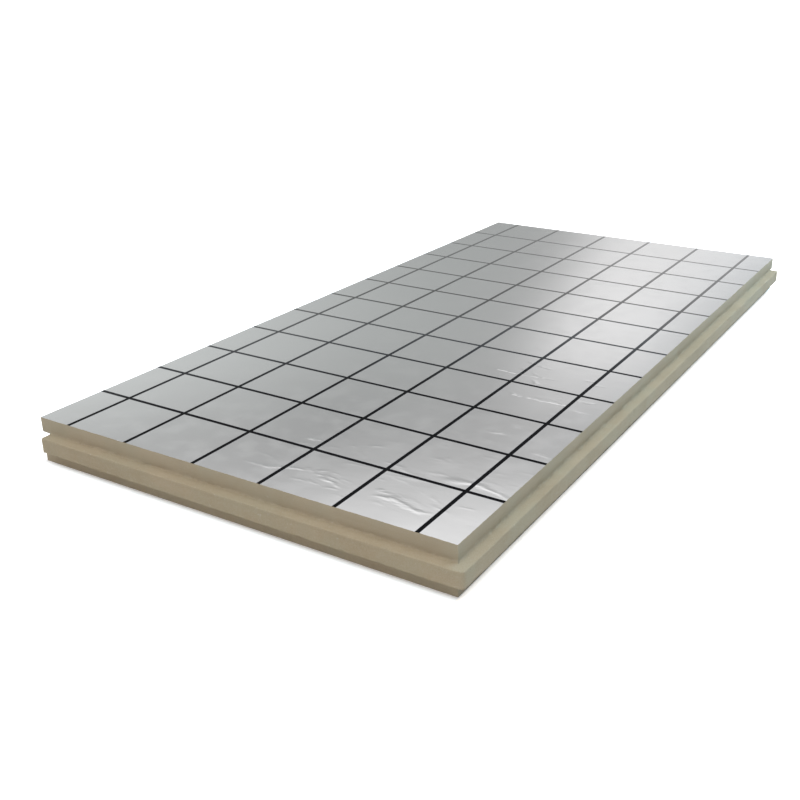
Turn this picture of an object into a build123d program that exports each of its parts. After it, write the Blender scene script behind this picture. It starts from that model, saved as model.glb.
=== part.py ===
from build123d import *
import os

# Foil-faced rigid foam insulation board with a tongue-and-groove edge, lying flat.
# The frame's origin is the centre of the board's underside. X runs across the
# board, Y along it and Z up. Millimetres.

# The board's cover size, which is what it covers once it is laid among others.
board_width = 600.0
board_length = 1200.0
board_thickness = 60.0

# Aluminium facings bonded to both faces of the foam.
facer_thickness = 0.3

# Tongue on the +X and -Y edges, milled at mid thickness with a broken nose.
tongue_thickness = 19.4
tongue_projection = 14.0
tongue_nose_chamfer = 1.0

# The groove on the -X and +Y edges takes the tongue of the next board.
groove_side_clearance = 0.4
groove_end_clearance = 0.5

core_thickness = board_thickness - 2 * facer_thickness
core_mid_height = board_thickness / 2
groove_height = tongue_thickness + 2 * groove_side_clearance
groove_depth = tongue_projection + groove_end_clearance

# Lines that the edges share. A tongue starts or stops at the floor of the groove
# that it meets, so that the boards also close at their corners.
left_edge = -board_width / 2
right_edge = board_width / 2
near_edge = -board_length / 2
far_edge = board_length / 2
left_groove_floor = left_edge + groove_depth
far_groove_floor = far_edge - groove_depth
right_tongue_nose = right_edge + tongue_projection
near_tongue_nose = near_edge - tongue_projection

# Rigid foam core: one slab with its four edges milled.
with BuildPart() as foam_core:
    with BuildSketch(Plane.XY.offset(facer_thickness)):
        Rectangle(board_width, board_length)
    extrude(amount=core_thickness)

    # Both tongues are one plate that runs round the near right corner.
    with BuildSketch(Plane.XY.offset(core_mid_height)):
        with BuildLine():
            Polyline(
                (left_groove_floor, near_edge),
                (left_groove_floor, near_tongue_nose),
                (right_tongue_nose, near_tongue_nose),
                (right_tongue_nose, far_groove_floor),
                (right_edge, far_groove_floor),
                (right_edge, near_edge),
                close=True,
            )
        make_face()
    extrude(amount=tongue_thickness / 2, both=True)

    # The tongue's two noses are broken along their upper and lower edges.
    near_nose = foam_core.faces().sort_by(Axis.Y)[0]
    right_nose = foam_core.faces().sort_by(Axis.X)[-1]
    nose_edges = near_nose.edges().filter_by(Axis.X) + right_nose.edges().filter_by(Axis.Y)
    chamfer(nose_edges, length=tongue_nose_chamfer)

    # Both grooves are one L-shaped slot that runs round the far left corner.
    with BuildSketch(Plane.XY.offset(core_mid_height)):
        with BuildLine():
            Polyline(
                (left_edge, near_edge),
                (left_groove_floor, near_edge),
                (left_groove_floor, far_groove_floor),
                (right_edge, far_groove_floor),
                (right_edge, far_edge),
                (left_edge, far_edge),
                close=True,
            )
        make_face()
    extrude(amount=groove_height / 2, both=True, mode=Mode.SUBTRACT)

foam_core.part.label = "foam_core"

# Aluminium facing on the upper face, flush with the lips of the foam.
with BuildPart() as top_facer:
    with BuildSketch(Plane.XY.offset(board_thickness - facer_thickness)):
        Rectangle(board_width, board_length)
    extrude(amount=facer_thickness)

top_facer.part.label = "top_facer"

# The same facing under the board, which it lies on.
with BuildPart() as bottom_facer:
    with BuildSketch():
        Rectangle(board_width, board_length)
    extrude(amount=facer_thickness)

bottom_facer.part.label = "bottom_facer"

os.makedirs("parts", exist_ok=True)
for piece in (foam_core, top_facer, bottom_facer):
    export_step(piece.part, f"parts/{piece.part.label}.step")
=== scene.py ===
import math

import bmesh
import bpy
import numpy as np
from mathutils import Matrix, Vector


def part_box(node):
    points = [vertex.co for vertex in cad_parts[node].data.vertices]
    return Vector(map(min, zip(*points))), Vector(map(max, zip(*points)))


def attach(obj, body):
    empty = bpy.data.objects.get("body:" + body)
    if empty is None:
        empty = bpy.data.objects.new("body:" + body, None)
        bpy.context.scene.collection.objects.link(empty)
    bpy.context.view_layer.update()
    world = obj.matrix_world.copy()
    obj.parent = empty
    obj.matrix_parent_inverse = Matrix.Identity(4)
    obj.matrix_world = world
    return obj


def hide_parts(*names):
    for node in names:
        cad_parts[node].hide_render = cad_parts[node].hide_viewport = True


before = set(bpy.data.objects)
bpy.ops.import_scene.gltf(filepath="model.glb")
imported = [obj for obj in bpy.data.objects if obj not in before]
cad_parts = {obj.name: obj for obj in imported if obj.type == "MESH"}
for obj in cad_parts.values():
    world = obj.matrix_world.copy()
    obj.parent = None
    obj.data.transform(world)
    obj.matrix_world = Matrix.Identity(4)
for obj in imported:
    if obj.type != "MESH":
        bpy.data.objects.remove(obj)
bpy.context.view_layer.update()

# Foam core. Rigid closed-cell foam, foamed as one slab between its facings and milled to a
# tongue or a groove on each edge. It is matt and dull yellowish grey, with the mill's faint
# streaks and a few open cells, whose pale flecks are painted glints, and painted light makes
# it a little paler towards the facings.
foam_colour = (0.396, 0.327, 0.220, 1.0)
foam_shade = (0.352, 0.289, 0.189, 1.0)
foam_greenish = (0.370, 0.319, 0.217, 1.0)
# A pale tone for the cells' grain, and for the painted glints and painted light below.
foam_pale_and_painted_light = (0.520, 0.490, 0.400, 1.0)
foam_roughness = 0.68
foam_specular = 0.12
mottle_scale, mottle_share = 14.0, 0.72
streak_stretch, streak_share = (6.0, 6.0, 420.0), 0.28
hue_scale = 17.0
cell_scale, grain_share = 900.0, 0.25
cell_strength, cell_relief = 0.18, 0.0004
# Pale flecks where open cells lie are painted glints, as if the cells caught the light.
glinting_cell_scale, painted_glint_share = 330.0, 0.45
# The paler band towards each facing is painted light, which lightens the lips.
painted_light_band, painted_light_share = (0.0092, 0.0125), 0.14
board_thickness = 0.060
facing_thickness = 0.0003


def add_node(tree, kind, inputs=None, **settings):
    """A shader node of one kind, with its settings and the given input values or links."""
    node = tree.nodes.new(kind)
    for name, value in settings.items():
        setattr(node, name, value)
    for name, value in (inputs or {}).items():
        if isinstance(value, bpy.types.NodeSocket):
            tree.links.new(value, node.inputs[name])
        else:
            node.inputs[name].default_value = value
    return node


def maths(tree, operation, *values):
    """The output of a Math node on one to three numbers or sockets."""
    return add_node(tree, "ShaderNodeMath", dict(enumerate(values)), operation=operation).outputs[0]


def away(tree, value, middle):
    """How far value is from middle, to either side."""
    return maths(tree, "ABSOLUTE", maths(tree, "SUBTRACT", value, middle))


def blend_colours(tree, factor, first, second):
    """The output of a colour Mix node, first at factor 0 and second at factor 1."""
    colour_sockets = {0: factor, 6: first, 7: second}
    return add_node(tree, "ShaderNodeMix", colour_sockets, data_type="RGBA").outputs[2]


def ramp(tree, value, low, high, low_out=0.0, high_out=1.0):
    """A smooth step of value from low_out at low to high_out at high."""
    inputs = {"Value": value, "From Min": low, "From Max": high, "To Min": low_out, "To Max": high_out}
    node = add_node(tree, "ShaderNodeMapRange", inputs, interpolation_type="SMOOTHSTEP")
    return node.outputs["Result"]


def noise(tree, place, scale, detail, roughness=0.5):
    """The grey output of a Noise node on place, with scale in cells a metre."""
    inputs = {"Vector": place, "Scale": scale, "Detail": detail, "Roughness": roughness}
    return add_node(tree, "ShaderNodeTexNoise", inputs).outputs["Fac"]


def stretched(tree, place, scale):
    """Place times scale on each axis, so that a noise on it runs along the axes of small scale."""
    return add_node(tree, "ShaderNodeMapping", {"Vector": place, "Scale": scale}).outputs["Vector"]


def new_group(name, inputs, outputs):
    """A shader node group with named inputs (name, kind, default) and outputs (name, kind)."""
    group = bpy.data.node_groups.new(name, "ShaderNodeTree")
    for label, kind, default in inputs:
        socket = group.interface.new_socket(label, in_out="INPUT", socket_type=kind)
        socket.default_value = default
    for label, kind in outputs:
        group.interface.new_socket(label, in_out="OUTPUT", socket_type=kind)
    return group, group.nodes.new("NodeGroupInput"), group.nodes.new("NodeGroupOutput")


def new_material(name):
    """An empty material with its Principled shader, wired to the output."""
    material = bpy.data.materials.new(name)
    material.use_nodes = True
    tree = material.node_tree
    tree.nodes.clear()
    shader = tree.nodes.new("ShaderNodeBsdfPrincipled")
    output = tree.nodes.new("ShaderNodeOutputMaterial")
    tree.links.new(shader.outputs["BSDF"], output.inputs["Surface"])
    return material, tree, shader


# The cut foam's colour: warm mottling and milled streaks, greenish clouds, the grain of the
# cells, pale flecks painted as glints where open cells catch the light, and a band of painted
# light, paler towards each facing.
foam_material, tree, shader = new_material("cut_foam")
place = tree.nodes.new("ShaderNodeTexCoord").outputs["Object"]
mottle = maths(tree, "MULTIPLY", noise(tree, place, mottle_scale, 3.0), mottle_share)
streak = noise(tree, stretched(tree, place, streak_stretch), 1.0, 4.0)
streak = maths(tree, "MULTIPLY", streak, streak_share)
mottled = ramp(tree, maths(tree, "ADD", mottle, streak), 0.35, 0.65)
toned = blend_colours(tree, mottled, foam_shade, foam_colour)
greenish = ramp(tree, noise(tree, place, hue_scale, 2.0, 0.6), 0.42, 0.64)
toned = blend_colours(tree, greenish, toned, foam_greenish)
cells = noise(tree, place, cell_scale, 2.0)
toned = blend_colours(tree, ramp(tree, cells, 0.3, 0.8, 0.0, grain_share), toned, foam_pale_and_painted_light)
# Painted glints: pale flecks where open cells catch the light.
painted_glints = ramp(tree, noise(tree, place, glinting_cell_scale, 1.0), 0.72, 0.78, 0.0, painted_glint_share)
toned = blend_colours(tree, painted_glints, toned, foam_pale_and_painted_light)
# Painted light: the foam turns paler away from the middle height, towards each facing.
level = add_node(tree, "ShaderNodeSeparateXYZ", {"Vector": place}).outputs["Z"]
off_middle = away(tree, level, board_thickness / 2)
toned = blend_colours(tree, ramp(tree, off_middle, *painted_light_band, 0.0, painted_light_share), toned, foam_pale_and_painted_light)
tree.links.new(toned, shader.inputs["Base Color"])
shader.inputs["Roughness"].default_value = foam_roughness
shader.inputs["Specular IOR Level"].default_value = foam_specular
bump = add_node(tree, "ShaderNodeBump", {"Height": cells, "Strength": cell_strength, "Distance": cell_relief})
tree.links.new(bump.outputs["Normal"], shader.inputs["Normal"])

# The core's outline is a rectangle at the height of its two lips and another, shifted one,
# at the height of the tongues and grooves. The trim leaves room for the ragged cut inside
# the solid's faces. Lengths here are metres.
board_half_width, board_half_length = 0.300, 0.600
tongue_reach, groove_depth = 0.0140, 0.0145
trim = 0.00012
lip_left, lip_right = -board_half_width + trim, board_half_width - trim
lip_near, lip_far = -board_half_length + trim, board_half_length - trim
mid_left, mid_right = -board_half_width + groove_depth, board_half_width + tongue_reach - trim
mid_near, mid_far = -board_half_length - tongue_reach + trim, board_half_length - groove_depth
near_cross = (mid_left, lip_near)
far_cross = (lip_right, mid_far)
station_step = 0.0022
tongue_corner_radius = 0.0055

# Each run is (lip start, lip end, middle start, middle end, tongue share at start, and at end).
runs = (
    (near_cross, (lip_right, lip_near), (mid_left, mid_near), (mid_right, mid_near), 1.0, 1.0),
    ((lip_right, lip_near), far_cross, (mid_right, mid_near), (mid_right, mid_far), 1.0, 1.0),
    (far_cross, far_cross, (mid_right, mid_far), far_cross, 1.0, 0.5),
    (far_cross, (lip_right, lip_far), far_cross, far_cross, 0.5, 0.0),
    ((lip_right, lip_far), (lip_left, lip_far), far_cross, (mid_left, mid_far), 0.0, 0.0),
    ((lip_left, lip_far), (lip_left, lip_near), (mid_left, mid_far), near_cross, 0.0, 0.0),
    ((lip_left, lip_near), near_cross, near_cross, near_cross, 0.0, 0.5),
    (near_cross, near_cross, near_cross, (mid_left, mid_near), 0.5, 1.0),
)

# The section runs up from the lower facing to the upper: share of the way from the lip's
# outline to the middle outline, height in mm, what the height takes off for a groove, and
# how ragged the cut is there. The cutter leaves a small cove where a tongue meets its lips.
section = np.array(
    [(0.0, z, 0.0, r) for z, r in ((0.3, 0.25), (1.2, 0.5), (5.0, 0.6), (10.0, 0.6), (15.0, 0.6))]
    + [(0.0, 16.6, -0.4, 1.0), (0.0, 17.9, -1.6, 1.8), (0.023, 19.1, -0.75, 2.4), (0.086, 19.98, 0.1, 2.2)]
    + [(0.171, 20.3, 0.4, 1.0), (0.40, 20.3, 0.4, 0.6), (0.63, 20.3, 0.4, 0.6), (0.86, 20.3, 0.4, 0.6)]
    + [(0.95, 20.3, 0.4, 1.4), (0.985, 20.4, 0.4, 1.8), (1.0, 20.65, 0.4, 2.0)]
    + [(1.0, z, 0.0, 0.6) for z in (23.0, 26.0, 30.0, 34.0, 37.0)]
    + [(1.0, 38.2, -0.4, 1.2), (0.97, 39.2, -0.4, 1.5), (0.92, 39.6, -0.4, 1.2)]
    + [(0.86, 39.7, -0.4, 0.6), (0.63, 39.7, -0.4, 0.6), (0.40, 39.7, -0.4, 0.8), (0.171, 39.7, -0.4, 1.6)]
    + [(0.086, 40.02, -0.1, 3.6), (0.023, 40.9, 0.75, 4.2), (0.0, 42.1, 1.7, 3.2), (0.0, 43.6, 0.4, 1.6)]
    + [(0.0, z, 0.0, r) for z, r in ((45.0, 0.6), (50.0, 0.6), (55.0, 0.6), (58.8, 0.5), (59.7, 0.25))]
)

# The cut's raggedness: how far its unit pushes a point, what share of it the cleaner grooves
# keep, and the (length, strength) of the waves that it is made of.
raggedness_unit = 0.00014
groove_raggedness = 0.45
cut_waves = ((0.090, 0.7), (0.047, 0.6), (0.021, 0.7), (0.011, 0.8), (0.0062, 0.9), (0.0051, 0.8))
waves_per_length = 6


def run_stations(run):
    """Points at even steps along one run: both outlines' points and the tongue share, as rows."""
    lip_start, lip_end, mid_start, mid_end, start_share, end_share = (np.array(part) for part in run)
    length = max(np.linalg.norm(lip_end - lip_start), np.linalg.norm(mid_end - mid_start))
    t = np.linspace(0.0, 1.0, max(2, round(length / station_step)) + 1)[:-1, None]
    lip = lip_start + (lip_end - lip_start) * t
    middle = mid_start + (mid_end - mid_start) * t
    return np.concatenate([lip, middle, start_share + (end_share - start_share) * t], axis=1)


def cut_relief(points, seed):
    """A smooth random push at each point, in three directions: the sum over cut_waves of plane
    sine waves of that length, in random directions and phases, times their strength."""
    random = np.random.default_rng(seed)
    push = np.zeros_like(points)
    for length, strength in cut_waves:
        waves = random.normal(size=(waves_per_length, 3))
        waves *= 2.0 * math.pi / (length * np.linalg.norm(waves, axis=1, keepdims=True))
        phases = random.uniform(0.0, 2.0 * math.pi, size=(waves_per_length, 3))
        for wave, phase in zip(waves, phases):
            push += strength * np.sin((points @ wave)[..., None] + phase) / waves_per_length
    return push


# The shell of points is the section at each station round the core. A point lies between
# the two outlines by the section's share, at the height of a tongue, a groove or in between.
stations = np.concatenate([run_stations(run) for run in runs])
tongue_share = stations[:, 4, None]
outward = section[None, :, 0, None]
plan = stations[:, None, 0:2] * (1.0 - outward) + stations[:, None, 2:4] * outward
height = section[None, :, 1] - section[None, :, 2] * (1.0 - tongue_share)
shell = np.concatenate([plan, height[..., None] / 1000.0], axis=2)

# The tongue's outer corner is worn round.
centre = np.array([mid_right - tongue_corner_radius, mid_near + tongue_corner_radius])
past = shell[..., 0:2] - centre
at_corner = (past[..., 0:1] > 0.0) & (past[..., 1:2] < 0.0)
distance = np.maximum(np.linalg.norm(past, axis=2, keepdims=True), 1e-9)
rounded = centre + past * tongue_corner_radius / distance
shell[..., 0:2] = np.where(at_corner, rounded, shell[..., 0:2])

kept_share = groove_raggedness + (1.0 - groove_raggedness) * tongue_share[..., None]
raggedness = section[None, :, 3, None] * kept_share * raggedness_unit
push = cut_relief(shell, 11) * raggedness
push[:, (0, -1), 2] = 0.0
shell = shell + push

# A few dents where handling has bruised the arrises, each of which is a row of the section.
arrises = (1, 7, 14, 15, 21, 22, 29, 35)
dent_count = 70
edge_zone = 0.020
random = np.random.default_rng(5)
for _ in range(dent_count):
    spot = shell[random.integers(0, len(stations)), random.choice(arrises)]
    depth = random.uniform(0.0003, 0.0009)
    width = random.uniform(0.0012, 0.0035)
    on_long_edge = abs(spot[0]) > board_half_width - edge_zone
    on_short_edge = abs(spot[1]) > board_half_length - edge_zone
    inward = np.array([-np.sign(spot[0]) * on_long_edge, -np.sign(spot[1]) * on_short_edge, 0.0])
    near = np.exp(-(((shell - spot) ** 2).sum(axis=2, keepdims=True)) / width**2)
    shell = shell + near * depth * inward

low_corner = np.array([lip_left - trim, mid_near - trim, facing_thickness])
high_corner = np.array([mid_right + trim, lip_far + trim, board_thickness - facing_thickness])
shell = np.clip(shell, low_corner, high_corner)
merge_distance = 0.0000005
milled_arris_angle = math.radians(32.0)


def closed_tube(name, shell):
    """A closed mesh from rings of points: quads between neighbours and a fan at each end."""
    around, up = shell.shape[:2]
    index = np.arange(around * up).reshape(around, up)
    turned = np.roll(index, -1, axis=0)
    quads = np.stack([index[:, :-1], turned[:, :-1], turned[:, 1:], index[:, 1:]], axis=-1).reshape(-1, 4)
    low, high = around * up, around * up + 1
    bottom = np.stack([turned[:, 0], index[:, 0], np.full(around, low)], axis=-1)
    top = np.stack([index[:, -1], turned[:, -1], np.full(around, high)], axis=-1)
    centres = np.array([[0.0, 0.0, shell[0, 0, 2]], [0.0, 0.0, shell[0, -1, 2]]])
    mesh = bpy.data.meshes.new(name)
    vertices = np.concatenate([shell.reshape(-1, 3), centres])
    mesh.from_pydata(vertices.tolist(), [], quads.tolist() + bottom.tolist() + top.tolist())
    joined = bmesh.new()
    joined.from_mesh(mesh)
    bmesh.ops.remove_doubles(joined, verts=joined.verts, dist=merge_distance)
    joined.to_mesh(mesh)
    joined.free()
    mesh.shade_smooth()
    mesh.set_sharp_from_angle(angle=milled_arris_angle)
    return mesh


core = bpy.data.objects.new("milled_core", closed_tube("milled_core", shell))
bpy.context.scene.collection.objects.link(core)
core.data.materials.append(foam_material)
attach(core, "root")
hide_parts("foam_core")

# Upper facing. Aluminium foil laminate bonded to the foam, satin, with low crosswise
# wrinkles that the bonding left, and a black grid about every 100 mm printed on it for
# cutting and fixing. The foil is a fine sheet that stays within the facing's thickness.
foil_low, foil_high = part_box("top_facer")
foil_colour = (0.86, 0.865, 0.865, 1.0)
ink_colour = (0.003, 0.003, 0.0035, 1.0)
foil_roughness = 0.15
ink_roughness = 0.20
ink_specular = 0.02
line_width = 0.0054
line_blur = 0.0002
lengthwise_lines = (-0.2499, -0.1536, -0.0467, 0.0500, 0.1512, 0.2530)
cross_lines = (-0.5029, -0.4035, -0.3054, -0.2053, -0.1056, -0.0056, 0.0951, 0.1947, 0.2947, 0.3941, 0.4941)

# Each wrinkle is (x, y, length, half width, height, turn in degrees, bow), in metres.
wrinkles = (
    (0.192, -0.557, 0.034, 0.0032, 0.00017, 4.0, 0.003),
    (0.218, -0.562, 0.036, 0.0034, 0.00017, -14.0, 0.000),
    (0.236, -0.564, 0.020, 0.0028, 0.00010, 10.0, 0.000),
    (0.210, -0.550, 0.046, 0.0044, 0.00004, -6.0, 0.003),
    (0.180, -0.549, 0.020, 0.0018, 0.00006, 2.0, 0.001),
    (0.186, -0.571, 0.016, 0.0024, 0.00003, -4.0, 0.001),
    (0.250, -0.550, 0.022, 0.0026, 0.00005, -16.0, 0.001),
    (0.243, -0.487, 0.044, 0.0050, 0.00020, 8.0, 0.002),
    (0.281, -0.491, 0.050, 0.0030, 0.00017, -16.0, 0.002),
    (0.262, -0.476, 0.060, 0.0050, 0.00003, -6.0, 0.004),
    (0.206, -0.484, 0.026, 0.0026, 0.00005, 10.0, 0.001),
    (0.158, -0.491, 0.034, 0.0024, 0.00008, -12.0, 0.002),
    (0.188, -0.500, 0.040, 0.0040, 0.00005, -12.0, 0.002),
    (0.115, -0.558, 0.028, 0.0022, 0.00018, -12.0, 0.002),
    (0.112, -0.550, 0.024, 0.0020, 0.00007, -8.0, 0.002),
    (0.098, -0.551, 0.018, 0.0020, 0.00006, -10.0, 0.001),
    (0.020, -0.564, 0.036, 0.0022, 0.00009, 2.0, 0.001),
    (0.040, -0.560, 0.022, 0.0022, 0.00013, 22.0, 0.001),
    (0.060, -0.552, 0.024, 0.0020, 0.00010, 14.0, 0.001),
    (0.109, -0.460, 0.016, 0.0026, 0.00007, 24.0, 0.000),
    (0.077, -0.545, 0.012, 0.0018, 0.00008, -30.0, 0.000),
    (0.092, -0.541, 0.010, 0.0016, 0.00008, 35.0, 0.000),
    (0.098, -0.568, 0.016, 0.0022, 0.00005, -10.0, 0.000),
    (0.124, -0.569, 0.014, 0.0020, 0.00005, 12.0, 0.000),
    (0.172, -0.546, 0.010, 0.0018, 0.00009, 28.0, 0.000),
    (0.236, -0.536, 0.024, 0.0024, 0.00005, -32.0, 0.000),
    (0.190, -0.452, 0.012, 0.0022, 0.00005, 20.0, 0.000),
    (0.198, -0.446, 0.010, 0.0020, 0.00005, -20.0, 0.000),
    (0.206, -0.359, 0.016, 0.0024, 0.00006, 0.0, 0.000),
    (0.284, -0.386, 0.022, 0.0022, 0.00009, -8.0, 0.000),
    (0.010, -0.541, 0.022, 0.0016, 0.00005, -4.0, 0.001),
    (0.033, -0.482, 0.020, 0.0022, 0.00012, 14.0, 0.001),
    (0.174, -0.2420, 0.011, 0.0015, 0.00022, -30.0, 0.000),
    (0.182, -0.2452, 0.011, 0.0015, 0.00022, -16.0, 0.000),
    (0.196, -0.2445, 0.010, 0.0014, 0.00021, -10.0, 0.000),
    (0.207, -0.2452, 0.010, 0.0014, 0.00019, -8.0, 0.000),
    (0.217, -0.2448, 0.010, 0.0014, 0.00020, 6.0, 0.000),
    (0.227, -0.2440, 0.010, 0.0015, 0.00023, 4.0, 0.000),
    (0.238, -0.2444, 0.013, 0.0014, 0.00023, -4.0, 0.0005),
    (0.248, -0.2436, 0.009, 0.0014, 0.00020, 3.0, 0.000),
    (0.220, -0.2360, 0.040, 0.0034, 0.00004, 0.0, 0.003),
    (0.274, -0.2220, 0.012, 0.0018, 0.00015, 20.0, 0.000),
    (0.166, -0.380, 0.030, 0.0028, 0.00004, -3.0, 0.002),
    (0.218, -0.356, 0.030, 0.0034, 0.00005, 5.0, 0.002),
    (0.228, -0.331, 0.044, 0.0040, 0.00005, 6.0, 0.002),
    (0.286, -0.386, 0.026, 0.0030, 0.00005, -8.0, 0.002),
    (0.119, -0.1758, 0.014, 0.0014, 0.00018, -2.0, 0.000),
    (0.131, -0.1764, 0.014, 0.0014, 0.00022, -5.0, 0.000),
    (0.142, -0.1772, 0.014, 0.0015, 0.00023, -3.0, 0.000),
    (0.158, -0.1764, 0.012, 0.0013, 0.00019, 4.0, 0.000),
    (0.171, -0.1752, 0.013, 0.0014, 0.00023, 3.0, 0.000),
    (0.182, -0.1746, 0.010, 0.0014, 0.00020, 0.0, 0.000),
    (0.168, -0.1660, 0.009, 0.0014, 0.00015, -40.0, 0.000),
    (0.181, -0.1920, 0.016, 0.0020, 0.00019, -46.0, 0.000),
    (0.084, -0.1850, 0.012, 0.0022, 0.00017, -50.0, 0.000),
    (0.193, -0.1738, 0.010, 0.0014, 0.00017, 8.0, 0.000),
    (0.186, -0.1968, 0.010, 0.0015, 0.00015, -20.0, 0.000),
    (0.144, -0.1308, 0.011, 0.0016, 0.00013, -8.0, 0.000),
    (0.163, -0.1376, 0.010, 0.0016, 0.00015, -5.0, 0.000),
    (0.174, -0.1388, 0.010, 0.0016, 0.00013, -8.0, 0.000),
    (0.146, -0.1575, 0.013, 0.0016, 0.00014, -14.0, 0.000),
    (0.243, -0.1533, 0.011, 0.0016, 0.00013, 1.0, 0.000),
    (0.262, -0.1625, 0.013, 0.0016, 0.00013, 7.0, 0.000),
    (0.261, -0.2228, 0.012, 0.0016, 0.00013, 8.0, 0.000),
    (0.275, -0.2555, 0.020, 0.0018, 0.00009, -3.0, 0.000),
    (0.227, -0.3313, 0.020, 0.0024, 0.00008, -4.0, 0.001),
    (0.215, -0.3575, 0.020, 0.0024, 0.00011, 4.0, 0.001),
    (0.214, -0.3807, 0.015, 0.0024, 0.00009, -15.0, 0.000),
)

# The faint wrinkles between them are seeded at random over the nearer right half of the foil.
faint_count = 90
random = np.random.default_rng(17)
faint_wrinkles = np.stack(
    [
        random.uniform(0.00, 0.295, faint_count),
        random.triangular(-0.59, -0.50, -0.15, faint_count),
        random.uniform(0.007, 0.024, faint_count),
        random.uniform(0.0014, 0.0026, faint_count),
        random.uniform(0.000010, 0.000050, faint_count),
        random.normal(-3.0, 12.0, faint_count),
        random.uniform(0.0, 0.002, faint_count),
    ],
    axis=1,
)

# Round each wrinkle the foil is crumpled: by this share of the wrinkle's height where the
# wrinkle is sharp and less where it is blunt, over an area that is longer and wider than it.
crumple_share = 0.19
sharp_half_width = 0.0023
crumple_length = 1.1
crumple_width = 2.2
crumple_waves = 14


def ridge(x, y, wrinkle):
    """Height of one wrinkle: a bowed ridge of wavering width, whose profile is half a bell and
    half a tent, times a factor that fades out its ends."""
    centre_x, centre_y, length, half_width, height, turn, bow = wrinkle
    angle = math.radians(turn)
    along = (x - centre_x) * math.cos(angle) + (y - centre_y) * math.sin(angle)
    across = (y - centre_y) * math.cos(angle) - (x - centre_x) * math.sin(angle)
    reach = along / (length / 2)
    middle = bow * (np.cos(reach * math.pi / 2) - 0.5) + 0.3 * bow * np.sin(reach * 5.0)
    width = half_width * (1.0 + 0.35 * np.sin(reach * 3.0 + centre_x * 40.0))
    side = np.abs(across - middle) / width
    profile = 0.5 * np.exp(-(side**2)) + 0.5 * np.clip(1.0 - side / 1.3, 0.0, 1.0)
    return height * profile * np.exp(-(reach**4))


def crumple(x, y, seed):
    """A fine relief about -1 to 1: a sum of plane sine waves of random phase, 3 to 7 mm long
    lengthwise and 11 to 32 mm long crosswise."""
    random = np.random.default_rng(seed)
    total = np.zeros_like(x)
    for _ in range(crumple_waves):
        lengthwise = 2.0 * math.pi / random.uniform(0.0030, 0.0070)
        crosswise = 2.0 * math.pi / random.uniform(0.011, 0.032) * random.choice((-1.0, 1.0))
        total += np.sin(x * crosswise + y * lengthwise + random.uniform(0.0, 2.0 * math.pi))
    return total / 4.0


# The foil lies on its bond, slowly uneven, and is trimmed a little short of the board.
bond_lift = 0.00003
unevenness = 0.000020
least_lift = 0.00001
trim_waves = 8
trim_unit = 0.00010
most_trimmed = 0.0005
crease_angle = math.radians(40.0)


def foil_height(x, y):
    """Height of the upper foil: its bonded level, a slow unevenness that is a product of bent
    sine waves plus one more, the wrinkles, and the crumple round them."""
    slow = np.sin(x * 61.0 + 6.0 * np.sin(y * 7.0) + 0.7) * np.sin(y * 47.0 + 3.0 * np.sin(x * 9.0) + 1.1)
    slow = slow + 0.7 * np.sin(x * 33.0 - y * 29.0 + 2.0 * np.sin(x * 13.0 + y * 5.0) + 2.0)
    bonded = foil_low.z + bond_lift + unevenness * (slow + 1.7)
    raised = sum(ridge(x, y, wrinkle) for wrinkle in wrinkles)
    raised = raised + sum(ridge(x, y, wrinkle) for wrinkle in faint_wrinkles)
    crumpled = 0.0
    for centre_x, centre_y, length, half_width, height, turn, bow in wrinkles:
        area = (crumple_length * length, crumple_width * half_width)
        strength = crumple_share * height * min(1.0, sharp_half_width / half_width)
        crumpled = crumpled + ridge(x, y, (centre_x, centre_y, *area, strength, turn, bow))
    return np.clip(bonded + raised + crumpled * crumple(x, y, 31), foil_low.z + least_lift, foil_high.z)


def trimmed_edge(places, seed):
    """How far the cut edge falls short: the size of a sum of sine waves 7 to 40 mm long, up to
    a limit."""
    random = np.random.default_rng(seed)
    total = np.zeros_like(places)
    for _ in range(trim_waves):
        wavelength = random.uniform(0.007, 0.040)
        total += np.sin(places * 2.0 * math.pi / wavelength + random.uniform(0.0, 2.0 * math.pi))
    return np.clip(np.abs(total) * trim_unit, 0.0, most_trimmed)


def packed_places(stops):
    """Places from the first stop to the last; each stop is (place, step used from it to the next one)."""
    spans = []
    for (start, step), (end, _) in zip(stops, stops[1:]):
        spans.append(np.linspace(start, end, round((end - start) / step) + 1)[:-1])
    return np.concatenate(spans + [[stops[-1][0]]])


def sheet_mesh(name, columns, rows, height_at, underside):
    """A closed sheet: height_at(x, y) on a grid of columns and rows with trimmed edges, a wall
    straight down from its rim to the level of the underside, and a fan of faces there."""
    x, y = np.meshgrid(columns, rows)
    x[:, 0] += trimmed_edge(rows, 21)
    x[:, -1] -= trimmed_edge(rows, 22)
    y[0, :] += trimmed_edge(columns, 23)
    y[-1, :] -= trimmed_edge(columns, 24)
    across, along = len(columns), len(rows)
    top = np.stack([x, y, height_at(x, y)], axis=-1).reshape(-1, 3)
    index = np.arange(across * along).reshape(along, across)
    quads = np.stack([index[:-1, :-1], index[:-1, 1:], index[1:, 1:], index[1:, :-1]], axis=-1)
    rim = np.concatenate([index[0, :-1], index[:-1, -1], index[-1, :0:-1], index[:0:-1, 0]])
    lower = top[rim].copy()
    lower[:, 2] = underside
    below = len(top) + np.arange(len(rim))
    walls = np.stack([rim, below, np.roll(below, -1), np.roll(rim, -1)], axis=-1)
    hub = len(top) + len(rim)
    middle = np.array([[x.mean(), y.mean(), underside]])
    fan = np.stack([below, np.full(len(rim), hub), np.roll(below, -1)], axis=-1)
    vertices = np.concatenate([top, lower, middle])
    faces = quads.reshape(-1, 4).tolist() + walls.tolist() + fan.tolist()
    mesh = bpy.data.meshes.new(name)
    mesh.from_pydata(vertices.tolist(), [], faces)
    mesh.shade_smooth()
    mesh.set_sharp_from_angle(angle=crease_angle)
    return mesh


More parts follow.
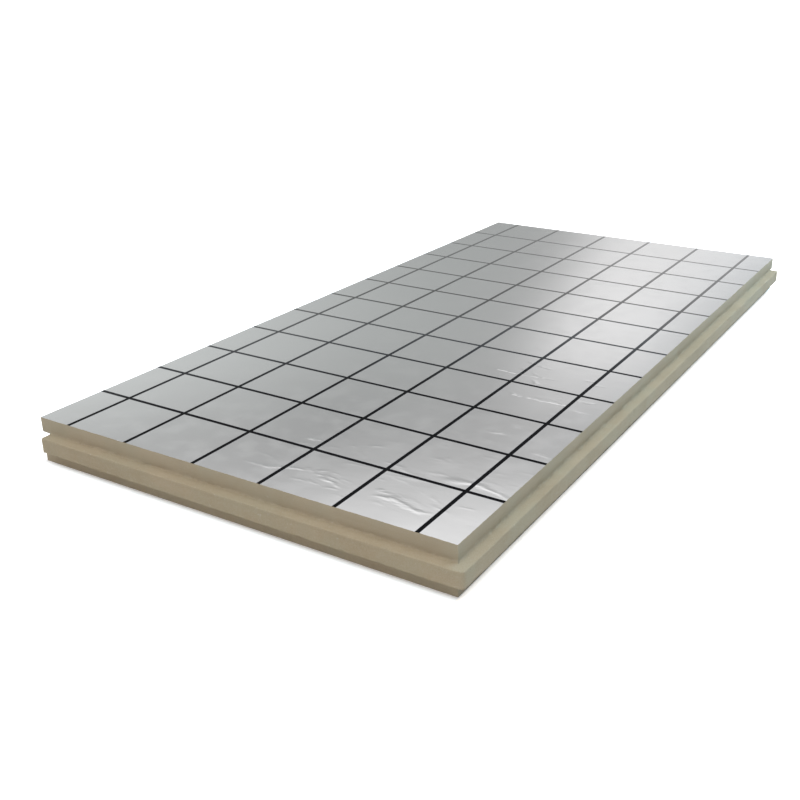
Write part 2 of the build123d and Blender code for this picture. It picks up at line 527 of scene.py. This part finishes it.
# The grid's columns and rows are close together where the wrinkles are, and closest where
# the two rows of short creases run.
foil_columns = packed_places(((foil_low.x, 0.010), (-0.02, 0.0025), (foil_high.x, 0.0)))
foil_rows = packed_places(
    ((foil_low.y, 0.0009), (-0.455, 0.0018), (-0.262, 0.0009), (-0.250, 0.00045), (-0.238, 0.0009))
    + ((-0.184, 0.00045), (-0.168, 0.0009), (-0.124, 0.008), (foil_high.y, 0.0))
)
foil_mesh = sheet_mesh("top_foil", foil_columns, foil_rows, foil_height, foil_low.z)
foil = bpy.data.objects.new("top_foil", foil_mesh)
bpy.context.scene.collection.objects.link(foil)

# Both facings share the rolled laminate's look: a slight drawn ripple, stronger in some
# patches than in others, and a clouded sheen.
ripple_stretch = (24.0, 42.0, 24.0)
patch_scale = 5.0
cloud_scale = 38.0
foil_clouding = 0.03
ripple_relief = 0.00006
foil_surface, group_in, group_out = new_group(
    "foil_surface",
    (
        ("Place", "NodeSocketVector", (0.0, 0.0, 0.0)),
        ("Sheen", "NodeSocketFloat", foil_roughness),
        ("Clouding", "NodeSocketFloat", foil_clouding),
    ),
    (("Height", "NodeSocketFloat"), ("Roughness", "NodeSocketFloat")),
)
tree = foil_surface
place = group_in.outputs["Place"]
ripple = noise(tree, stretched(tree, place, ripple_stretch), 1.0, 2.0)
patchy = ramp(tree, noise(tree, place, patch_scale, 1.0), 0.35, 0.65, 0.3, 1.0)
tree.links.new(maths(tree, "MULTIPLY", ripple, patchy), group_out.inputs["Height"])
clouds = ramp(tree, noise(tree, place, cloud_scale, 3.0), 0.42, 0.72)
clouds = maths(tree, "MULTIPLY", clouds, group_in.outputs["Clouding"])
tree.links.new(maths(tree, "ADD", group_in.outputs["Sheen"], clouds), group_out.inputs["Roughness"])


def laminate_finish(tree, shader, place, sheen, clouding, relief):
    """Gives a facing's shader the group's roughness, and its ripple as a bump of that relief."""
    inputs = {"Place": place, "Sheen": sheen, "Clouding": clouding}
    surface = add_node(tree, "ShaderNodeGroup", inputs, node_tree=foil_surface)
    tree.links.new(surface.outputs["Roughness"], shader.inputs["Roughness"])
    rippled = {"Height": surface.outputs["Height"], "Strength": 1.0, "Distance": relief}
    bump = add_node(tree, "ShaderNodeBump", rippled)
    tree.links.new(bump.outputs["Normal"], shader.inputs["Normal"])


# The ink is black and matt from above. Seen ever lower, it mirrors the room as the bare foil
# does: it turns metallic over the first span of the slant and loses its black over the other.
metallic_span = (0.64, 0.70)
paling_span = (0.605, 0.995)
foil_material, tree, shader = new_material("printed_foil")
place = tree.nodes.new("ShaderNodeTexCoord").outputs["Object"]
axes = add_node(tree, "ShaderNodeSeparateXYZ", {"Vector": place})
off_line = 1.0
for axis, lines in (("X", lengthwise_lines), ("Y", cross_lines)):
    for line in lines:
        off_line = maths(tree, "MINIMUM", off_line, away(tree, axes.outputs[axis], line))
printed = ramp(tree, off_line, line_width / 2 - line_blur, line_width / 2 + line_blur, 1.0, 0.0)
slanted = tree.nodes.new("ShaderNodeLayerWeight").outputs["Facing"]
black = maths(tree, "SUBTRACT", 1.0, ramp(tree, slanted, *paling_span))
matt = maths(tree, "SUBTRACT", 1.0, ramp(tree, slanted, *metallic_span))
colour = blend_colours(tree, maths(tree, "MULTIPLY", printed, black), foil_colour, ink_colour)
metallic = maths(tree, "SUBTRACT", 1.0, maths(tree, "MULTIPLY", printed, matt))
tree.links.new(colour, shader.inputs["Base Color"])
tree.links.new(metallic, shader.inputs["Metallic"])
shader.inputs["Specular IOR Level"].default_value = ink_specular
sheen = ramp(tree, printed, 0.0, 1.0, foil_roughness, ink_roughness)
laminate_finish(tree, shader, place, sheen, foil_clouding, ripple_relief)
foil.data.materials.append(foil_material)
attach(foil, "root")
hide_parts("top_facer")

# Lower facing. The same foil laminate under the board, plain, which the board lies on.
# It is bonded flat, so the solid's own shape stays and only its finish is made here.
under_roughness = 0.26
under_clouding = 0.08
under_relief = 0.00010
plain_foil, tree, shader = new_material("plain_foil")
place = tree.nodes.new("ShaderNodeTexCoord").outputs["Object"]
laminate_finish(tree, shader, place, under_roughness, under_clouding, under_relief)
shader.inputs["Base Color"].default_value = foil_colour
shader.inputs["Metallic"].default_value = 1.0
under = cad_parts["bottom_facer"]
under.data.materials.clear()
under.data.materials.append(plain_foil)

# Camera. A little above the board and off its near corner, level, with the picture's
# frame cut from a wider one, which the lens shift gives.
camera_data = bpy.data.cameras.new("camera")
camera_data.lens = 45.40
camera_data.sensor_width = 36.0
camera_data.shift_x = -0.0834
camera_data.shift_y = -0.0504
camera = bpy.data.objects.new("camera", camera_data)
camera.location = (0.7273, -1.3261, 0.5755)
camera_heading = math.radians(29.905)
camera_drop = math.radians(21.062)
camera.rotation_euler = (math.pi / 2 - camera_drop, 0.0, camera_heading)
bpy.context.scene.collection.objects.link(camera)
bpy.context.scene.camera = camera

# Floor. A plain pale matt studio floor that keeps the board's shadow. Only the camera sees
# its faint glow, which is painted light: it makes the floor white a little away from the board
# and so narrows the shadow. Its colours allow for the cool light at the board's right side
# and beyond its far end, and paint out the lamps' tint in the shadow.
floor_reach = 30.0
floor_colour = (0.90, 0.89, 0.87, 1.0)
seen_floor_colour = (1.0, 1.0, 1.0, 1.0)
cool_lit_colour = (1.0, 0.95, 0.89, 1.0)
plain_glow = (1.0, 1.0, 1.0, 1.0)
front_glow = (0.86, 0.95, 1.0, 1.0)
cool_lit_glow = (1.0, 0.965, 0.92, 1.0)
# How strong the painted glow is near the board and far from it.
near_glow, wide_glow = 0.7, 0.3
distance_weights = (1.8, 1.0, 0.0)
floor_mesh = bpy.data.meshes.new("floor")
floor_corners = [(x * floor_reach, y * floor_reach, 0.0) for x, y in ((-1, -1), (1, -1), (1, 1), (-1, 1))]
floor_mesh.from_pydata(floor_corners, [], [(0, 1, 2, 3)])
floor = bpy.data.objects.new("floor", floor_mesh)
bpy.context.scene.collection.objects.link(floor)
floor_material, tree, shader = new_material("studio_floor")
shader.inputs["Roughness"].default_value = 1.0
shader.inputs["Specular IOR Level"].default_value = 0.0
seen = tree.nodes.new("ShaderNodeLightPath").outputs["Is Camera Ray"]
place = tree.nodes.new("ShaderNodeTexCoord").outputs["Object"]
axes = add_node(tree, "ShaderNodeSeparateXYZ", {"Vector": place})
# Painted counter-tint: the floor the camera sees is warmed where the cool lamp falls, and its glow is cooled
# in front, so that the shadow there looks neutral.
in_front = ramp(tree, axes.outputs["Y"], -board_half_length - 0.001, -board_half_length, 1.0, 0.0)
at_right = ramp(tree, axes.outputs["X"], board_half_width, board_half_width + 0.001)
beyond = ramp(tree, axes.outputs["Y"], board_half_length, board_half_length + 0.001)
cool_lit = maths(tree, "MAXIMUM", at_right, beyond)
shown = blend_colours(tree, cool_lit, seen_floor_colour, cool_lit_colour)
tree.links.new(blend_colours(tree, seen, floor_colour, shown), shader.inputs["Base Color"])
glow_colour = blend_colours(tree, in_front, plain_glow, front_glow)
glow_colour = blend_colours(tree, cool_lit, glow_colour, cool_lit_glow)
tree.links.new(glow_colour, shader.inputs["Emission Color"])

# The glow, painted light, starts at the board's foot and grows with the distance from it, for
# which a distance sideways weighs more than one lengthwise, so that it narrows the shadow. On
# the right it starts more softly, already under the tongue, and lightens the shadow there.
off_board = add_node(tree, "ShaderNodeVectorMath", {0: place}, operation="ABSOLUTE").outputs["Vector"]
for operation, operand in (
    ("SUBTRACT", (board_half_width, board_half_length, 0.0)),
    ("MAXIMUM", (0.0, 0.0, 0.0)),
    ("MULTIPLY", distance_weights),
):
    measured = add_node(tree, "ShaderNodeVectorMath", {0: off_board, 1: operand}, operation=operation)
    off_board = measured.outputs["Vector"]
off_board = add_node(tree, "ShaderNodeVectorMath", {0: off_board}, operation="LENGTH").outputs["Value"]
glow_start = maths(tree, "MULTIPLY_ADD", at_right, -0.0083, -0.0037)
glow_end = maths(tree, "MULTIPLY_ADD", at_right, 0.0045, 0.0105)
glow = ramp(tree, off_board, glow_start, glow_end, 0.0, near_glow)
glow = maths(tree, "ADD", glow, ramp(tree, off_board, 0.005, 0.3, 0.0, wide_glow))
tree.links.new(maths(tree, "MULTIPLY", seen, glow), shader.inputs["Emission Strength"])
floor_mesh.materials.append(floor_material)

# Studio. Three soft lamps: a broad one over the camera's side, one straight above and a cool
# one behind the right end. The foil doesn't mirror them, but a room of its own, which only
# glossy rays see. All other light comes from a plain fill, and the camera sees plain white.


def area_lamp(name, place, aim, width, depth, energy, colour):
    """A rectangular area lamp at place, facing aim, that shiny surfaces do not mirror."""
    data = bpy.data.lights.new(name, "AREA")
    data.shape = "RECTANGLE"
    data.size = width
    data.size_y = depth
    data.energy = energy
    data.color = colour
    lamp = bpy.data.objects.new(name, data)
    lamp.location = place
    lamp.rotation_euler = (Vector(aim) - lamp.location).to_track_quat("-Z", "Y").to_euler()
    lamp.visible_glossy = False
    bpy.context.scene.collection.objects.link(lamp)


def between(tree, factor, first, second):
    """The number first at factor 0 and second at factor 1, on a straight line between them."""
    return maths(tree, "MULTIPLY_ADD", factor, maths(tree, "SUBTRACT", second, first), first)


area_lamp("broad_lamp", (0.7, -1.3, 3.0), (0.0, 0.0, 0.0), 2.6, 2.6, 34.5, (1.0, 1.0, 0.98))
area_lamp("top_lamp", (0.0, 0.0, 3.0), (0.3, 0.3, 0.0), 1.4, 1.0, 24.0, (0.90, 0.94, 1.0))
area_lamp("cool_lamp", (1.1, 1.5, 1.6), (0.3, 0.3, 0.0), 1.4, 1.0, 45.0, (0.50, 0.75, 1.0))

world = bpy.data.worlds.new("studio")
bpy.context.scene.world = world
world.use_nodes = True
tree = world.node_tree
tree.nodes.clear()

# A place in the mirrored room is a turn to the left from the board's far end and a rise above
# the floor, in degrees. The room behind the camera repeats the one in front of it.
heading = tree.nodes.new("ShaderNodeTexCoord").outputs["Generated"]
axes = add_node(tree, "ShaderNodeSeparateXYZ", {"Vector": heading})
turn = maths(tree, "ARCTAN2", maths(tree, "MULTIPLY", axes.outputs["X"], -1.0), axes.outputs["Y"])
turn = maths(tree, "WRAP", maths(tree, "DEGREES", turn), 90.0, -90.0)
rise = maths(tree, "DEGREES", maths(tree, "ARCSINE", axes.outputs["Z"]))

# Spans of turn or rise over which one part of the room gives way to the next, and how
# bright each part is, from one end of it to the other, where 1 is white.
side_to_screen, screen_to_wall = (-8.0, 5.0), (20.9, 25.3)
low_to_gap, gap_to_ceiling, ceiling_to_overhead = (19.9, 25.3), (24.9, 37.7), (50.0, 66.0)
screen_right, screen_left = (0.875, 0.83), 0.94
rim_dark, corner_dimming = (0.68, 0.56), 0.115
wall_near, wall_far = (0.405, 0.442), 0.85
side_turn, side_bright = -55.0, (0.95, 0.46)
gap_bright = (0.265, 0.365)
ceiling_side, ceiling_main, ceiling_far = (0.92, 0.62), 1.5, 0.70
overhead_bright = (0.50, 0.86)
brightest = 1.05

# The whole room leans to the left as it rises, and turns are then measured along that lean.
# The rim of its screen leans more than the rest, and past it the screen is darker low down.
upright_rise, last_leaning_rise = 15.0, 30.0
lean, rim_lean = 0.52, 1.05
leaning = maths(tree, "SUBTRACT", maths(tree, "MINIMUM", rise, last_leaning_rise), upright_rise)
rim_leaning = maths(tree, "MULTIPLY", maths(tree, "SUBTRACT", rise, upright_rise), rim_lean)
past_rim = maths(tree, "SUBTRACT", turn, rim_leaning)
turn = maths(tree, "SUBTRACT", turn, maths(tree, "MULTIPLY", leaning, lean))
rim_shade = ramp(tree, rise, 21.0, 22.6, ramp(tree, rise, 16.5, 19.5, *rim_dark), 1.0)
screen_end = ramp(tree, past_rim, 11.1, 14.2, rim_shade, 1.0)

# The bright screen, with one dimmer corner, a dull wall to its left that is brighter further
# on, and a side screen to its right, brightest in its middle.
off_side = away(tree, turn, side_turn)
screen = ramp(tree, turn, 12.0, 18.0, ramp(tree, rise, 15.0, 20.0, *screen_right), screen_left)
dimmed = ramp(tree, rise, 13.8, 17.0, corner_dimming, 0.0)
dimmed = maths(tree, "MULTIPLY", dimmed, ramp(tree, turn, 14.5, 18.5))
screen = maths(tree, "MULTIPLY", screen, maths(tree, "SUBTRACT", 1.0, dimmed))
screen = maths(tree, "MULTIPLY", screen, screen_end)
wall = ramp(tree, turn, 28.0, 58.0, ramp(tree, rise, 14.0, 20.0, *wall_near), wall_far)
side_screen = ramp(tree, off_side, 4.0, 26.0, *side_bright)
screen = between(tree, ramp(tree, turn, *side_to_screen), side_screen, screen)
low_down = between(tree, ramp(tree, turn, *screen_to_wall), screen, wall)

# Over them runs a dark gap, darkest at a turn that shifts as it rises. Over that comes a
# bright ceiling. It is duller above the side screen and far to the left, and dims overhead.
gap_turn = maths(tree, "ADD", maths(tree, "MINIMUM", maths(tree, "MAXIMUM", rise, 21.0), 28.0), 8.9)
gap = ramp(tree, away(tree, turn, gap_turn), 0.0, 5.0, *gap_bright)
gap = maths(tree, "MINIMUM", low_down, gap)
higher = between(tree, ramp(tree, rise, *low_to_gap), low_down, gap)
over_side = ramp(tree, off_side, 4.0, 40.0, *ceiling_side)
ceiling = ramp(tree, turn, *side_to_screen, over_side, ceiling_main)
ceiling = maths(tree, "MINIMUM", ceiling, ramp(tree, turn, 64.0, 88.0, ceiling_main, ceiling_far))
mirrored = between(tree, ramp(tree, rise, *gap_to_ceiling), higher, ceiling)
slant = maths(tree, "MULTIPLY_ADD", axes.outputs["Y"], 0.6, axes.outputs["X"])
overhead = ramp(tree, slant, -0.24, 0.24, *overhead_bright)
overhead = between(tree, ramp(tree, rise, *ceiling_to_overhead), 1.0, overhead)
mirrored = maths(tree, "MULTIPLY", maths(tree, "MINIMUM", mirrored, brightest), overhead)

# The screen's right part is a little cold in colour, and the wall low down a little green.
cold_tint, plain_tint = (0.955, 0.99, 1.02, 1.0), (1.006, 0.997, 1.0, 1.0)
green_tint = (0.966, 1.0, 0.990, 1.0)
greenish = maths(tree, "MULTIPLY", ramp(tree, turn, 21.0, 30.0), ramp(tree, rise, 20.0, 28.0, 1.0, 0.0))
tint = blend_colours(tree, ramp(tree, turn, 9.0, 19.0), cold_tint, plain_tint)
tint = blend_colours(tree, greenish, tint, green_tint)
for_glossy = add_node(tree, "ShaderNodeBackground", {"Strength": mirrored, "Color": tint})

# The fill that lights the board: from low down at the left and the far side, from higher up
# mostly at the near side and the left.
near_fill_colour, fill_colour = (1.05, 0.97, 0.97, 1.0), (0.98, 1.0, 1.04, 1.0)
left = ramp(tree, axes.outputs["X"], -1.0, 0.2, 1.0, 0.0)
right = ramp(tree, axes.outputs["X"], -0.2, 1.0)
near_side = ramp(tree, axes.outputs["Y"], -1.0, 0.2, 1.0, 0.0)
far_side = ramp(tree, axes.outputs["Y"], -0.2, 1.0)
low_fill = maths(tree, "MULTIPLY_ADD", maths(tree, "ADD", left, far_side), 0.4, 0.12)
high_fill = maths(tree, "MULTIPLY_ADD", left, 0.58, maths(tree, "MULTIPLY_ADD", near_side, 0.97, 0.04))
high_fill = maths(tree, "MULTIPLY_ADD", right, 0.15, high_fill)
fill = between(tree, ramp(tree, rise, 12.0, 32.0), low_fill, high_fill)
fill_tint = blend_colours(tree, near_side, fill_colour, near_fill_colour)
for_light = add_node(tree, "ShaderNodeBackground", {"Strength": fill, "Color": fill_tint})
for_camera = add_node(tree, "ShaderNodeBackground", {"Strength": 1.0, "Color": (1.0, 1.0, 1.0, 1.0)})

paths = tree.nodes.new("ShaderNodeLightPath").outputs
glossy_or_light = {0: paths["Is Glossy Ray"], 1: for_light.outputs[0], 2: for_glossy.outputs[0]}
unseen = add_node(tree, "ShaderNodeMixShader", glossy_or_light)
seen_or_not = {0: paths["Is Camera Ray"], 1: unseen.outputs[0], 2: for_camera.outputs[0]}
room = add_node(tree, "ShaderNodeMixShader", seen_or_not)
add_node(tree, "ShaderNodeOutputWorld", {"Surface": room.outputs[0]})

bpy.context.scene.view_settings.view_transform = "Standard"
